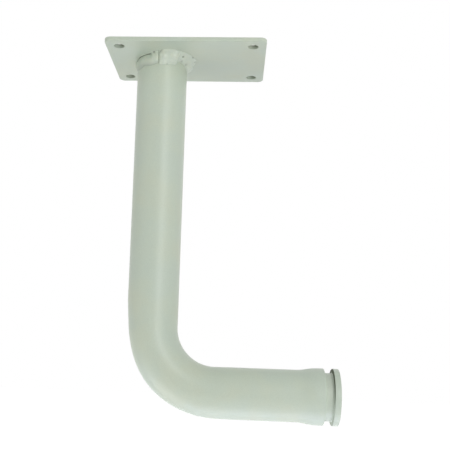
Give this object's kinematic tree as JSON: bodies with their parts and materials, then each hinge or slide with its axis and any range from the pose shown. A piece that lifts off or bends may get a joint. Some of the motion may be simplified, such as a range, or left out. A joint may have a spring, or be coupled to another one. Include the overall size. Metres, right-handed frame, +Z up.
{
  "type": "ceiling mount bracket",
  "caption": "Ceiling bracket: rectangular plate with bolt holes and a bent tube welded under it, ending in a swaged mouth with a grooved, bored end fitting.",
  "frame": {"origin": "centre of the four bolt holes on the plate's face that meets the ceiling", "axes": "+Z up into the ceiling, +X the way the arm points, +Y across the plate"},
  "size_m": [0.225, 0.1, 0.35],
  "materials": {
    "powder_coat": "pale grey-green satin powder coat over steel",
    "coated_weld": "the same powder coat over a rough hand-laid weld"
  },
  "bodies": {
    "root": {"mounting_plate": "powder_coat", "bent_tube": "powder_coat", "end_spigot": "powder_coat", "plate_weld": "coated_weld"}
  },
  "joints": []
}
